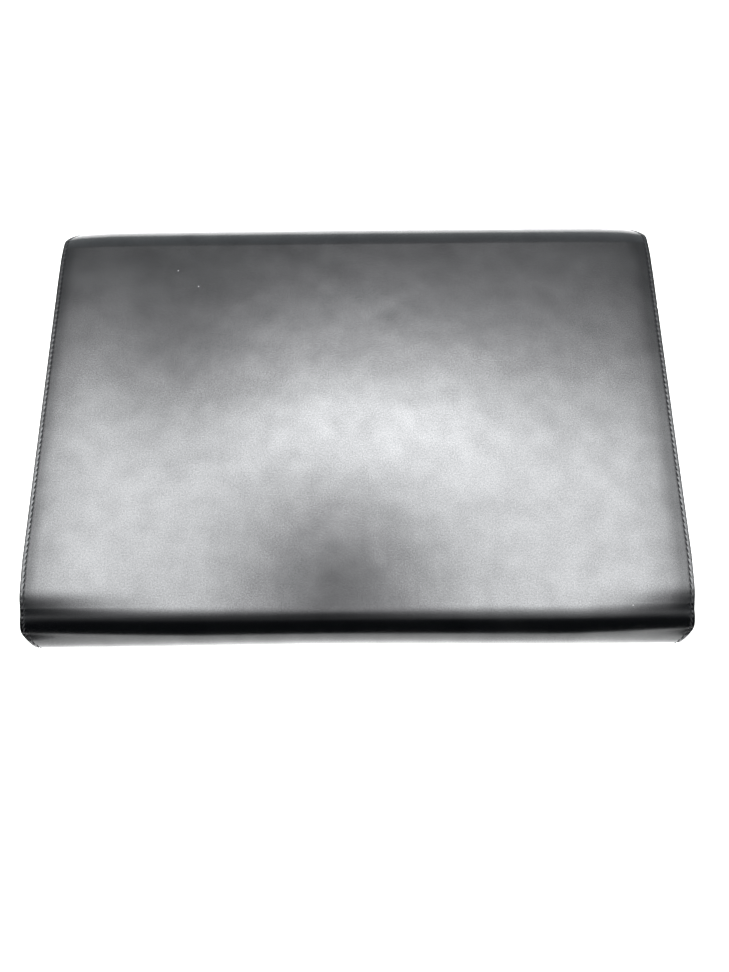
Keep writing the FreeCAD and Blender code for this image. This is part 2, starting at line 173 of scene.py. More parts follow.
# How far the middle stands proud. The flap lies on the table, so it has no crown.
CROWN_KEYS = [
    (fold_s(150), 0.0), (fold_s(60), 0.5 * MM), (S_BACK + 30 * MM, 0.5 * MM), (S_TURN - 30 * MM, 0.5 * MM),
    (turn_s(40), 0.2 * MM), (turn_s(95), 0.0),
]
# How far the back panel's corners droop where the bottom fold begins. True is the right side.
DROOP = 3.6 * MM
DROOP_RISE = (S_TURN - 16 * MM, turn_s(17))
DROOP_FALL = (turn_s(55), turn_s(103))
DROOP_REACH = {False: 96 * MM, True: 64 * MM}
# How far the bottom fold bulges all along, and how far it is pressed in at its middle.
BELLY_KEYS = [(turn_s(20), 0.0), (turn_s(95), 0.9 * MM), (turn_s(165), 0.0)]
WAIST_KEYS = [(turn_s(20), 0.0), (turn_s(95), 1.1 * MM), (turn_s(165), 0.0)]
WAIST_X = -14 * MM
WAIST_HALF = 92 * MM
# The groove that the stitches lie in. The flap rests on its outer side, so its thread is sunk deeper.
GROOVE_KEYS = [(S_FOLD - 4 * MM, 0.50 * MM), (S_FOLD + 14 * MM, 0.06 * MM)]
GROOVE_HALF = 0.5 * MM
# The leather puckers from stitch to stitch, most of all round the bottom.
PUCKER_KEYS = [(S_TURN - 40 * MM, 0.035 * MM), (S_TURN, 0.10 * MM)]
PUCKER_INSET = 1.9 * MM
PUCKER_HALF = 1.1 * MM
PUCKER_REACH = 5 * MM
# The edge is rounded. Its right side has one small bite near the fold.
ROUND = 0.45 * MM
NICK = 1.0 * MM
NICK_S = S_BACK + 43.5 * MM
NICK_HALF = 0.65 * MM
NICK_REACH = 1.6 * MM


def shape(s, x):
    """How far the whole stack of layers stands out from the plain wrapped sheet."""
    side = HALF - abs(x)
    rise = between(CROWN_KEYS, s) * math.cos(min(abs(x) / HALF, 1.0) * math.pi / 2) ** 0.6
    rise += between(BELLY_KEYS, s) - between(WAIST_KEYS, s) * math.exp(-((x - WAIST_X) / WAIST_HALF) ** 2)
    dip = between(DIP_KEYS, s)
    rise -= dip * (1 - smooth(0.0, DIP_REACH, side)) ** 1.4
    rise -= dip / DIP * STEP_SLOPE * soft_over(STEP_REACH[x > 0] - side, STEP_BLUR)
    droop = DROOP * smooth(*DROOP_RISE, s) ** 2 * (1 - smooth(*DROOP_FALL, s))
    return rise - droop * max(1 - side / DROOP_REACH[x > 0], 0.0) ** 1.2


def detail(s, x, inset):
    """The leather's own small shapes: the stitched groove, its puckers and the rounded edge."""
    rise = -between(GROOVE_KEYS, s) * math.exp(-((inset - SEAM) / GROOVE_HALF) ** 2)
    if inset < PUCKER_REACH:
        here = math.exp(-((inset - PUCKER_INSET) / PUCKER_HALF) ** 2)
        rise -= between(PUCKER_KEYS, s) * here * stitch_wave(s, x)
    if inset < ROUND:
        rise -= ROUND - math.sqrt(ROUND ** 2 - (ROUND - inset) ** 2)
    return rise


def nick(s, x, inset):
    """How far the small bite takes the edge in."""
    if x < 0 or inset > NICK_REACH:
        return 0.0
    return NICK * math.exp(-((s - NICK_S) / NICK_HALF) ** 2) * (1 - smooth(0.0, NICK_REACH, inset))


def wrap(s, x, inset, depth=0.0, fine=True):
    """The point of a place on the sheet, depth below its outer surface. inset is the distance to the edge."""
    y, z, ny, nz = track(s)
    out = shape(s, x) - depth + (detail(s, x, inset) if fine else 0.0)
    shrink = 1 - between(PULL_KEYS, s) / HALF
    return Vector((x * shrink - nick(s, x, inset), y + ny * out, z + nz * out))


def wrap_plain(s):
    """The point in the middle of the plain wrapped sheet at s."""
    y, z, _, _ = track(s)
    return (0.0, y, z)


def along(s):
    """The direction in which the sheet runs on at s."""
    _, _, ny, nz = track(s)
    return Vector((0.0, -nz, ny))


def outward(s):
    """The sheet's outward normal at s."""
    _, _, ny, nz = track(s)
    return Vector((0.0, ny, nz))


# ---------------------------------------------------------------- the layout of one piece of the sheet

# How far in from the edge the lines of points run: they are closest together at the edge and in the groove.
INSETS = [m * MM for m in (
    0, 0.12, 0.3, 0.6, 1.1, 1.6, 1.9, 2.1, 2.3, 2.5, 2.7, 3.0, 3.8, 5, 7, 10, 14, 19, 26,
)]
REACH = INSETS[-1]
COLUMN = 6 * MM
# How far apart the rows of points are: on the seen panel, round the two bends, and where little is seen.
PANEL_STEP = 0.85 * MM
BEND_STEP = 0.8 * MM
INNER_STEP = 0.9 * MM
FLAT_STEP = 4 * MM
# Rows are closer together at both ends, so that two pieces that meet are shaded alike.
END_ROWS = (0.06 * MM, 0.2 * MM, 0.45 * MM)
# How far apart the lines of points are round a corner, as an angle.
FAN = math.pi / 48
# Points closer than this are one point.
WELD = 1e-6


def even(low, high, step):
    """Evenly spaced numbers from low to high, no further apart than step."""
    count = max(1, math.ceil(abs(high - low) / step - 1e-9))
    return [low + (high - low) * i / count for i in range(count + 1)]


def rows_between(low, high, step):
    """Row places from low to high, graded towards both ends."""
    starts = [low + d for d in END_ROWS]
    stops = [high - d for d in reversed(END_ROWS)]
    return [low, *starts] + even(starts[-1], stops[0], step)[1:-1] + [*stops, high]


def across(half):
    """(x, distance to the side) from one sewn side to the other."""
    left = [(-half + d, d) for d in INSETS]
    middle = [(x, half - abs(x)) for x in even(-half + REACH, half - REACH, COLUMN)[1:-1]]
    return left + middle + [(-x, d) for x, d in reversed(left)]


def corner_point(inset, radius, angle):
    """A point on a rounded corner's inset line: its distances from the end edge and from the side edge."""
    size = REACH - inset
    bend = max(radius - inset, 0.0)
    sin, cos = math.sin(angle), math.cos(angle)
    if size < 1e-9:
        return REACH, REACH
    t = size / max(sin, cos)
    flat = size - bend
    if t * min(sin, cos) > flat:
        both = flat * (sin + cos)
        t = both + math.sqrt(max(both * both - 2 * flat * flat + bend * bend, 0.0))
    return REACH - t * sin, REACH - t * cos


def add_grid(bm, rows):
    """Adds rows of points to a mesh and the faces between them."""
    made = [[bm.verts.new(p) for p in row] for row in rows]
    for low, high in zip(made, made[1:]):
        for i in range(len(low) - 1):
            bm.faces.new((low[i], low[i + 1], high[i + 1], high[i]))


def add_free_end(bm, half, end, sign, radius):
    """Adds the part of a sheet next to a free edge, whose rows follow the edge round both corners."""
    middle = [x for x, _ in across(half)[len(INSETS) - 1:1 - len(INSETS)]]
    add_grid(bm, [[(x, end + sign * d, d) for x in middle] for d in INSETS])
    for side in (-1, 1):
        fan = []
        for d in INSETS:
            spots = [corner_point(d, radius, angle) for angle in even(0, math.pi / 2, FAN)]
            fan.append([(side * (half - b), end + sign * a, d) for a, b in spots])
        add_grid(bm, fan)


def sheet_mesh(start, stop, step, margin=0.0, end=None, radius=0.0):
    """A flat mesh of a stretch of the sheet, drawn in from its sides by margin.

    Its vertices are (x, s, distance to the sheet's own edge). end is the s of a free edge, if there is one.
    """
    bm = bmesh.new()
    half = HALF - margin
    if end is not None:
        sign = 1 if abs(end - start) < abs(end - stop) else -1
        add_free_end(bm, half, end, sign, radius)
        start, stop = (end + REACH, stop) if sign == 1 else (start, end - REACH)
    add_grid(bm, [[(x, s, d) for x, d in across(half)] for s in rows_between(start, stop, step)])
    bmesh.ops.remove_doubles(bm, verts=bm.verts, dist=WELD)
    for v in bm.verts:
        v.co.z += margin
    return bm


def sheet_object(name, flats, depth, thick):
    """Wraps flat meshes into one closed object. depth is a number or a function of s."""
    verts, faces, uvs = [], [], []
    for flat in flats:
        flat.verts.index_update()
        base, count = len(verts), len(flat.verts)
        for under in (0.0, thick):
            for v in flat.verts:
                x, s, inset = v.co
                top = depth(s) if callable(depth) else depth
                verts.append(wrap(s, x, inset, top + under, fine=top + under == 0.0))
                uvs.append((x, s))
        for f in flat.faces:
            ids = [base + v.index for v in f.verts]
            a, b, c = (verts[i] for i in ids[:3])
            if (b - a).cross(c - a).dot(outward(f.verts[0].co.y)) < 0:
                ids.reverse()
            faces.append(ids)
            faces.append([i + count for i in reversed(ids)])
        for e in flat.edges:
            if e.is_boundary:
                i, j = (base + v.index for v in e.verts)
                faces.append([i, j, j + count, i + count])
        flat.free()
    return mesh_object(name, verts, faces, uvs)


def mesh_object(name, verts, faces, uvs, sharp=35, weld=0.0):
    """A smooth-shaded object from points and faces, with its UV map laid out in metres on the sheet."""
    mesh = bpy.data.meshes.new(name)
    mesh.from_pydata(verts, [], faces)
    layer = mesh.uv_layers.new(name="sheet")
    for loop in mesh.loops:
        layer.data[loop.index].uv = uvs[loop.vertex_index]
    bm = bmesh.new()
    bm.from_mesh(mesh)
    if weld:
        bmesh.ops.remove_doubles(bm, verts=bm.verts, dist=weld)
    bmesh.ops.recalc_face_normals(bm, faces=bm.faces)
    bm.to_mesh(mesh)
    bm.free()
    mesh.shade_smooth()
    mesh.set_sharp_from_angle(angle=math.radians(sharp))
    obj = bpy.data.objects.new(name, mesh)
    scene.collection.objects.link(obj)
    return obj


# ---------------------------------------------------------------- zones: what each stretch rides on

BODIES = ("case", "fold_1", "fold_2", "fold_3", "flap")


def bend_zone(number):
    """One quarter of the fold, which bends about one hinge: where it starts and stops, and its two bodies.

    Quarter 1 is next to the back panel.
    """
    high = S_BACK - (number - 1) * BEND
    return high - BEND, high, BODIES[number - 1], BODIES[number]


def place(piece, zone, material, slot, *replaced):
    """Gives a piece its material and hides the CAD nodes it replaces. A piece of the case or the flap is tied
    to its body; a piece of the fold is only baked where it lies.
    """
    piece.data.materials.clear()
    for m in (material if isinstance(material, list) else [material]):
        piece.data.materials.append(m)
    if zone in ("case", "flap"):
        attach(piece, zone)
    else:
        low, high, near, far = bend_zone(zone)
        wrap_plain(high)
        wrap_plain(low)
        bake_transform(piece)
    if replaced:
        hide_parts(*replaced)


def zone_of(s):
    """The zone that a place on the sheet belongs to."""
    if s < S_FOLD:
        return "flap"
    if s > S_BACK:
        return "case"
    return min(4, int((S_BACK - s) / BEND) + 1)


def zone_range(zone):
    """Where a zone of the sheet starts and stops."""
    if zone == "flap":
        return 0.0, S_FOLD
    if zone == "case":
        return S_BACK, S_MOUTH
    return bend_zone(zone)[:2]


# ---------------------------------------------------------------- thread and paint round the edge

def perimeter(inset):
    """The closed line that runs inside the sheet's edge: a list of (length, function of distance)."""
    half = HALF - inset
    flap_r = CORNER - inset
    mouth_r = max(MOUTH_CORNER - inset, LEAST_CORNER)
    low, high = inset, S_MOUTH - inset
    parts = []

    def line(p, q):
        length = math.dist(p, q)
        d = ((q[0] - p[0]) / length, (q[1] - p[1]) / length)
        parts.append((length, lambda t: (p[0] + d[0] * t, p[1] + d[1] * t, d[0], d[1])))

    def arc(cx, cs, r, start):
        def at(t):
            a = start + t / r
            return cx + r * math.cos(a), cs + r * math.sin(a), -math.sin(a), math.cos(a)
        parts.append((r * math.pi / 2, at))

    line((half, low + flap_r), (half, high - mouth_r))
    arc(half - mouth_r, high - mouth_r, mouth_r, 0)
    line((half - mouth_r, high), (-half + mouth_r, high))
    arc(-half + mouth_r, high - mouth_r, mouth_r, math.pi / 2)
    line((-half, high - mouth_r), (-half, low + flap_r))
    arc(-half + flap_r, low + flap_r, flap_r, math.pi)
    line((-half + flap_r, low), (half - flap_r, low))
    arc(half - flap_r, low + flap_r, flap_r, 1.5 * math.pi)
    return parts


def walk(parts, step):
    """(x, s, dx, ds) at even steps along a line."""
    total = sum(length for length, _ in parts)
    count = round(total / step)
    spots = []
    for i in range(count):
        t = total * i / count
        for length, at in parts:
            if t <= length:
                spots.append(at(t))
                break
            t -= length
    return spots


SEAM_SPOTS = walk(perimeter(SEAM), PITCH)


def seam_phase(side):
    """Where the stitches of one side seam fall on the sheet, and how far apart they are."""
    spots = [spot for spot in SEAM_SPOTS if spot[0] * side > 0 and abs(spot[3]) > 0.99]
    middle = spots[len(spots) // 2]
    return middle[1], abs(spots[1][1] - spots[0][1])


# True is the right seam.
PHASES = {False: seam_phase(-1), True: seam_phase(1)}


def stitch_wave(s, x):
    """1 at the middle of each stitch and -1 between two of them."""
    start, pitch = PHASES[x > 0]
    return math.cos(2 * math.pi * (s - start) / pitch)


# The thread: it is a little flattened, and thinner at a stitch's ends.
THREAD_SIDES = 8
THREAD_RADIUS = 0.37 * MM
THREAD_SPREAD = (0.92, 1.08)
THREAD_FLAT = 0.8
THREAD_TAPER = 0.5
# A stitch: it arches up from below the surface, and its ends lean to either side of the seam.
STITCH_STEPS = 8
STITCH_LENGTH = 2.85 * MM
STITCH_ARCH = 0.36 * MM
STITCH_SUNK = 0.26 * MM
SLANT = 0.42 * MM
SLANT_SPREAD = (0.8, 1.2)
# The painted shade of the slit at each end of a stitch: a flat dark patch where the hole lies in shade. The
# last two say how far out it lies, as shares of length and lean.
HOLE_SHADE_SIDES = 10
HOLE_SHADE_LONG = 0.40 * MM
HOLE_SHADE_WIDE = 0.34 * MM
HOLE_SHADE_LIFT = 0.03 * MM
HOLE_SHADE_OUT = 0.53
HOLE_SHADE_LEAN = 1.1


def add_stitch(parts, spot, rng):
    """One short thread that comes out of a hole, lies slanted over the groove and goes down the next hole, with
    a patch of painted shade over each hole.
    """
    x, s, dx, ds = spot
    verts, faces, slots, uvs = parts
    up = outward(s)
    lean = SLANT * rng.uniform(*SLANT_SPREAD) * (1 if x > 0 else -1)
    radius = THREAD_RADIUS * rng.uniform(*THREAD_SPREAD)

    def at(t, side, height):
        return wrap(s + ds * t - dx * side, x + dx * t + ds * side, SEAM, -height)

    ends = [i / (STITCH_STEPS - 1) * 2 - 1 for i in range(STITCH_STEPS)]
    centres = [at(u * STITCH_LENGTH / 2, lean * u, (1 - u ** 4) * STITCH_ARCH - STITCH_SUNK) for u in ends]
    forward = (centres[-1] - centres[0]).normalized()
    sideways = forward.cross(up).normalized()
    base = len(verts)
    for u, centre in zip(ends, centres):
        size = radius * (1 - THREAD_TAPER * abs(u) ** 3)
        for k in range(THREAD_SIDES):
            a = 2 * math.pi * k / THREAD_SIDES
            verts.append(centre + sideways * size * math.cos(a) + up * size * THREAD_FLAT * math.sin(a))
            uvs.append((k / THREAD_SIDES, u))
    for i in range(STITCH_STEPS - 1):
        for k in range(THREAD_SIDES):
            a, b = base + i * THREAD_SIDES, (k + 1) % THREAD_SIDES
            faces.append([a + k, a + b, a + b + THREAD_SIDES, a + k + THREAD_SIDES])
            slots.append(0)
    # Painted shade: a flat near-black patch at each end, where the thread goes down into its hole.
    for u in (-1, 1):
        base = len(verts)
        centre = at(u * STITCH_LENGTH * HOLE_SHADE_OUT, lean * u * HOLE_SHADE_LEAN, HOLE_SHADE_LIFT)
        verts.append(centre)
        for k in range(HOLE_SHADE_SIDES):
            a = 2 * math.pi * k / HOLE_SHADE_SIDES
            verts.append(centre + forward * HOLE_SHADE_LONG * math.cos(a) + sideways * HOLE_SHADE_WIDE * math.sin(a))
            faces.append([base, base + 1 + k, base + 1 + (k + 1) % HOLE_SHADE_SIDES])
            slots.append(1)
        uvs.extend([(0, 0)] * (HOLE_SHADE_SIDES + 1))


def stitch_pieces(materials):
    """The stitches all round the sheet, one piece for each zone."""
    names = {"case": ("case_stitches", ["right_seam_thread", "left_seam_thread", "mouth_thread"]),
             "flap": ("flap_stitches", ["flap_thread"])}
    made = {}
    rng = random.Random(7)
    for spot in SEAM_SPOTS:
        add_stitch(made.setdefault(zone_of(spot[1]), ([], [], [], [])), spot, rng)
    for zone, (verts, faces, slots, uvs) in sorted(made.items(), key=str):
        name, replaced = names.get(zone, (f"fold_stitches_{zone}", []))
        piece = mesh_object(name, verts, faces, uvs, sharp=60)
        place(piece, zone, materials, "sewing_thread", *replaced)
        piece.data.polygons.foreach_set("material_index", slots)


# How thick the painted edge is: the leather with what is sewn under it.
STACK_KEYS = [
    (S_FOLD - 6 * MM, FLAP_STACK), (S_FOLD + 6 * MM, FOLD_STACK), (S_BACK - 4 * MM, FOLD_STACK),
    (S_BACK + 4 * MM, CASE_STACK), (turn_s(25), CASE_STACK), (turn_s(70), 0.6 * CASE_STACK),
    (turn_s(150), CASE_STACK),
]
# Its bead starts a little below the outer surface and bulges out past the edge.
PAINT_STEP = 1.6 * MM
PAINT_SIDES = 9
PAINT_DROP = 0.22 * MM
PAINT_BULGE = 0.32 * MM
PAINT_INSET = 0.12 * MM


def paint_row(spot, low, high):
    """The points down the painted edge at one place of the outline, and their places on the UV map."""
    x, s, dx, ds = spot
    s = min(max(s, low), high)
    away = Vector((ds, 0, 0)) - along(s) * dx
    deep = between(STACK_KEYS, s)
    points, uvs = [], []
    for k in range(PAINT_SIDES):
        u = k / (PAINT_SIDES - 1)
        depth = PAINT_DROP + (deep - PAINT_DROP) * u
        bulge = PAINT_BULGE * (1 - (2 * u - 1) ** 4) - PAINT_INSET
        points.append(wrap(s, x, ROUND, depth, fine=False) + away * bulge)
        uvs.append((s + x, depth))
    return points, uvs


def edge_paint(material):
    """The rounded bead of paint that closes the layers' edges all the way round."""
    spots = walk(perimeter(0.0), PAINT_STEP)
    groups = {}
    for p, q in zip(spots, spots[1:] + spots[:1]):
        groups.setdefault(zone_of((p[1] + q[1]) / 2), []).append((p, q))
    for zone, pairs in sorted(groups.items(), key=str):
        verts, faces, uvs = [], [], []
        for pair in pairs:
            base = len(verts)
            for spot in pair:
                points, places = paint_row(spot, *zone_range(zone))
                verts += points
                uvs += places
            for k in range(base, base + PAINT_SIDES - 1):
                faces.append([k, k + 1, k + 1 + PAINT_SIDES, k + PAINT_SIDES])
        name = f"{zone}_edge_paint" if isinstance(zone, str) else f"fold_edge_paint_{zone}"
        place(mesh_object(name, verts, faces, uvs, sharp=70, weld=WELD), zone, material, "outer_leather")


# ---------------------------------------------------------------- gussets, divider, facing

# The sewn flange, with the places of its points in from the edge, and the radius of the bend beside it.
FLANGE = 6 * MM
FLANGE_PLACES = (0.4 * MM, 3 * MM)
GUSSET_BEND = 2.4 * MM
GUSSET_WALL = 0.85 * GUSSET
BEND_POINTS = 5
WALL_POINTS = 12
# The wall ripples a little more towards the mouth, by this height and this many radians a metre.
RIPPLE = 0.4 * MM
RIPPLE_RATE = 95
ROOM_MID = (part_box("left_gusset")[1].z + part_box("left_gusset")[0].z) / 2
# How far in from the wall the inner fold starts, and how much further in it runs from the bottom to the mouth.
SPINE_START = 0.6 * MM
SPINE_RUN = 14.6 * MM
# How far the bottom draws the inner fold in, and how far up this is seen.
TUCK = 2.6 * MM
TUCK_REACH = 60 * MM
# Each gusset's grain comes from its own patch of the leather, away from the skin's.
PATCH_X = 0.3
PATCH_SIDE = 0.1
PATCH_STEP = 1.5 * MM


def spine_x(y):
    """How far from the middle the gusset's inner fold lies."""
    tuck = TUCK * (1 - smooth(TURN_Y, TURN_Y + TUCK_REACH, y))
    return HALF - FLANGE - SPINE_START - SPINE_RUN * (y - TURN_Y) / MOUTH_RUN - tuck


def gusset_row(side, s):
    """The points across one gusset at s: its flange, its soft bend and its wall, up to the inner fold."""
    depth = ROOM + GUSSET / 2
    insets = (*FLANGE_PLACES, FLANGE - GUSSET_BEND)
    row = [wrap(s, side * (HALF - d), d, depth, fine=False) for d in insets]
    rim = row[-1]
    for i in range(1, BEND_POINTS + 1):
        a = i / BEND_POINTS * math.pi / 2
        inward = outward(s) * GUSSET_BEND * (math.cos(a) - 1)
        row.append(rim + inward - Vector((side * GUSSET_BEND * math.sin(a), 0, 0)))
    foot = row[-1]
    y = max(track(s)[0], TURN_Y)
    spine = Vector((side * spine_x(y), y, ROOM_MID))
    ripple = side * RIPPLE * math.sin(y * RIPPLE_RATE) * smooth(TURN_Y, MOUTH_Y, y)
    for i in range(1, WALL_POINTS + 1):
        v = i / WALL_POINTS
        point = foot.lerp(spine, v)
        point.x = foot.x + (spine.x - foot.x) * (1 - (1 - v) ** 1.45) + ripple * math.sin(v * math.pi)
        row.append(point)
    return row


def thicken(piece, thickness):
    """Turns an open surface into a solid with the surface in its middle."""
    shell = piece.modifiers.new("thickness", "SOLIDIFY")
    shell.thickness = thickness
    shell.offset = 0
    bpy.context.view_layer.update()
    solid = bpy.data.meshes.new_from_object(piece.evaluated_get(bpy.context.evaluated_depsgraph_get()))
    piece.modifiers.clear()
    piece.data = solid


def gusset(side, material):
    """A bellows wall: a flange sewn under the skin, a soft bend, and a fold that runs in towards the middle."""
    stations = [S_MOUTH - d for d in even(0, MOUTH_RUN, FLAT_STEP)]
    stations += even(S_FRONT, S_TURN, INNER_STEP)[1:-1]
    stations += [S_TURN - d for d in even(0, MOUTH_RUN, FLAT_STEP)]
    verts, faces, uvs = [], [], []
    for s in stations:
        row = gusset_row(side, s)
        verts += row
        uvs += [(PATCH_X + side * PATCH_SIDE + i * PATCH_STEP, s) for i in range(len(row))]
    wide = len(row)
    for n in range(len(stations) - 1):
        for a in range(n * wide, (n + 1) * wide - 1):
            faces.append([a, a + 1, a + 1 + wide, a + wide])
    name = "right_gusset_leather" if side > 0 else "left_gusset_leather"
    piece = mesh_object(name, verts, faces, uvs, sharp=80, weld=WELD)
    thicken(piece, GUSSET_WALL)
    place(piece, "case", material, "gusset_leather", "right_gusset" if side > 0 else "left_gusset")


def rounded_outline(corners, radius):
    """A closed outline through corners, each cut off by a small arc."""
    points = []
    count = len(corners)
    for i in range(count):
        here = Vector(corners[i])
        before = (Vector(corners[i - 1]) - here).normalized()
        after = (Vector(corners[(i + 1) % count]) - here).normalized()
        for t in even(0, 1, 0.2):
            a, b = here + before * radius * (1 - t), here + after * radius * t
            points.append(a.lerp(b, t))
    return points


LEAF_CORNER = 3 * MM
# The rounded edge of a leaf, from its top down: (share of the thickness, how far in as a share of it).
LEAF_EDGE = [(0, 0.5), (0.1, 0.18), (0.3, 0.02), (0.5, 0.0), (0.7, 0.02), (0.9, 0.18), (1, 0.5)]


def leaf(name, corners, low, high, material, slot, *replaced):
    """A flat leaf with rounded edges, from its corners in x and y."""
    outline = rounded_outline(corners, LEAF_CORNER)
    thick = high - low
    centre = sum(outline, Vector((0, 0))) / len(outline)
    verts, faces = [], []
    count = len(outline)
    for drop, inset in LEAF_EDGE:
        for p in outline:
            away = p - centre
            step = Vector((math.copysign(1, away.x), math.copysign(1, away.y))) * inset * thick
            verts.append((p.x - step.x, p.y - step.y, high - thick * drop))
    last = (len(LEAF_EDGE) - 1) * count
    for start in range(0, last, count):
        for i in range(count):
            j = (i + 1) % count
            faces.append([start + i, start + j, start + count + j, start + count + i])
    faces.append(list(range(count)))
    faces.append([last + i for i in reversed(range(count))])
    piece = mesh_object(name, verts, faces, [(v[0], v[1]) for v in verts], sharp=50)
    place(piece, "case", material, slot, *replaced)


# How far the cloth and the boards stop short of the leather's edge, and the slack over each.
CLOTH_MARGIN = 0.3 * MM
BOARD_MARGIN = 8 * MM
CLOTH_GAP = 0.1 * MM
BOARD_GAP = 0.05 * MM
# How far the divider stops short of the gussets, how far it tapers at its foot, and the facing's step back.
DIVIDER_GAP = 1.2 * MM
DIVIDER_TAPER = 4 * MM
FACING_BACK = 0.4 * MM


def case_lining(cloth):
    """The lining of the case, in one piece from the back panel round the bottom to the mouth."""
    place(sheet_object("case_cloth", [
        sheet_mesh(S_BACK, S_TURN, FLAT_STEP, CLOTH_MARGIN),
        sheet_mesh(S_TURN, S_FRONT, INNER_STEP, CLOTH_MARGIN),
        sheet_mesh(S_FRONT, S_MOUTH, FLAT_STEP, CLOTH_MARGIN, S_MOUTH - CLOTH_MARGIN, MOUTH_CORNER),
    ], ROOM - LINING - CLOTH_GAP, LINING), "case", cloth, "lining_fabric", "case_lining")


def stiffeners(board):
    """The boards behind the back panel and the bottom."""
    top = SKIN + BOARD_GAP
    place(sheet_object("back_stiffener", [sheet_mesh(S_BACK, S_TURN, FLAT_STEP, BOARD_MARGIN)], top, BOARD),
          "case", board, "stiffener_board", "back_board")
    place(sheet_object("bottom_stiffener", [sheet_mesh(S_TURN, S_FRONT, INNER_STEP, BOARD_MARGIN)], top, BOARD),
          "case", board, "stiffener_board", "bottom_board")


def divider(leather):
    """The leaf that parts the case's room in two. It follows the gussets' inner folds."""
    low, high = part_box("divider")
    mouth = spine_x(MOUTH_Y) - DIVIDER_GAP
    foot = spine_x(TURN_Y) - DIVIDER_GAP
    toe = foot - DIVIDER_TAPER
    leaf("divider_leaf", [
        (-mouth, MOUTH_Y), (-foot, TURN_Y), (-toe, low.y), (toe, low.y), (foot, TURN_Y), (mouth, MOUTH_Y),
    ], low.z, high.z, leather, "divider_leather", "divider")


def facing(leather):
    """The strip that faces the lining along the mouth."""
    low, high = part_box("mouth_facing")
    edge = high.y - FACING_BACK
    leaf("mouth_facing_strip", [(low.x, low.y), (high.x, low.y), (high.x, edge), (low.x, edge)],
         low.z, high.z, leather, "facing_leather", "mouth_facing")


# ---------------------------------------------------------------- materials

class Nodes:
    """A short way to write a material's nodes."""

    def __init__(self, name):
        self.material = bpy.data.materials.new(name)
        self.material.use_nodes = True
        self.tree = self.material.node_tree
        self.tree.nodes.clear()
        self.output = self.tree.nodes.new("ShaderNodeOutputMaterial")
        self.shader = self.add("ShaderNodeBsdfPrincipled")
        self.tree.links.new(self.shader.outputs[0], self.output.inputs[0])

    def add(self, kind, values=None, **settings):
        """A new node with its settings and the values of its sockets."""
        node = self.tree.nodes.new(kind)
        for key, value in settings.items():
            setattr(node, key, value)
        for key, value in (values or {}).items():
            self.put(node, key, value)
        return node

    def put(self, node, key, value):
        """Links a socket to another node's output, or sets it to a constant."""
        socket = node.inputs[key]
        if isinstance(value, bpy.types.NodeSocket):
            self.tree.links.new(value, socket)
        else:
            socket.default_value = value

    def place(self, scale=(1, 1, 1), source="UV"):
        """Coordinates in metres, stretched by scale: those on the sheet, or the object's own."""
        if source == "UV":
            where = self.add("ShaderNodeUVMap", uv_map="sheet").outputs[0]
        else:
            where = self.add("ShaderNodeTexCoord").outputs["Object"]
        return self.add("ShaderNodeMapping", {"Vector": where, "Scale": scale}).outputs[0]

    def noise(self, where, scale, detail=2.0, rough=0.5):
        """Cloudy noise between 0 and 1. scale is in clouds a metre."""
        return self.add("ShaderNodeTexNoise", {
            "Vector": where, "Scale": scale, "Detail": detail, "Roughness": rough,
        }).outputs["Fac"]

    def range(self, value, low, high, to_low, to_high):
        """A value moved from one range to another."""
        return self.add("ShaderNodeMapRange", {
            "Value": value, "From Min": low, "From Max": high, "To Min": to_low, "To Max": to_high,
        }).outputs[0]

    def math(self, operation, a, b=0.0):
        """One step of arithmetic."""
        return self.add("ShaderNodeMath", {0: a, 1: b}, operation=operation).outputs[0]

    def bump(self, height, distance, strength=1.0, normal=None):
        """A surface normal tilted by a height, on top of another normal if one is given."""
        values = {"Height": height, "Distance": distance, "Strength": strength}
        if normal is not None:
            values["Normal"] = normal
        return self.add("ShaderNodeBump", values).outputs[0]

    def mix(self, factor, a, b):
        """A colour between a and b."""
        node = self.add("ShaderNodeMix", data_type="RGBA")
        self.put(node, 0, factor)
        self.put(node, 6, a)
        self.put(node, 7, b)
        return node.outputs[2]

    def finish(self, **values):
        """Sets the shader's sockets and gives the finished material."""
        for key, value in values.items():
            self.put(self.shader, key.replace("_", " "), value)
        return self.material


def hill(n, x, y, centre_x, centre_y, wide, deep):
    """1 at a centre, falling softly to 0 around it."""
    u = n.math("POWER", n.math("DIVIDE", n.math("SUBTRACT", x, centre_x), wide), 2.0)
    v = n.math("POWER", n.math("DIVIDE", n.math("SUBTRACT", y, centre_y), deep), 2.0)
    return n.math("EXPONENT", n.math("MULTIPLY", n.math("ADD", u, v), -1.0))


def round_spot(n, flat, x, s, radius):
    """1 at a place on the sheet, falling to 0 around it."""
    axes = n.add("ShaderNodeSeparateXYZ", {0: flat}).outputs
    return hill(n, axes[0], axes[1], x, s, radius, radius)


# Small flaws of the skin: pale specks (x, s) and soft dents (x, s, radius).
MARKS = [(-107 * MM, S_BACK + 17 * MM), (-94 * MM, S_BACK + 28 * MM), (146 * MM, S_TURN + 1 * MM)]
MARK_RADIUS = 0.35 * MM
MARK_COLOUR = (0.25, 0.25, 0.25, 1)
DENTS = [(20 * MM, S_BACK + 45 * MM, 6 * MM)]
DENT_DEPTH = 0.07 * MM


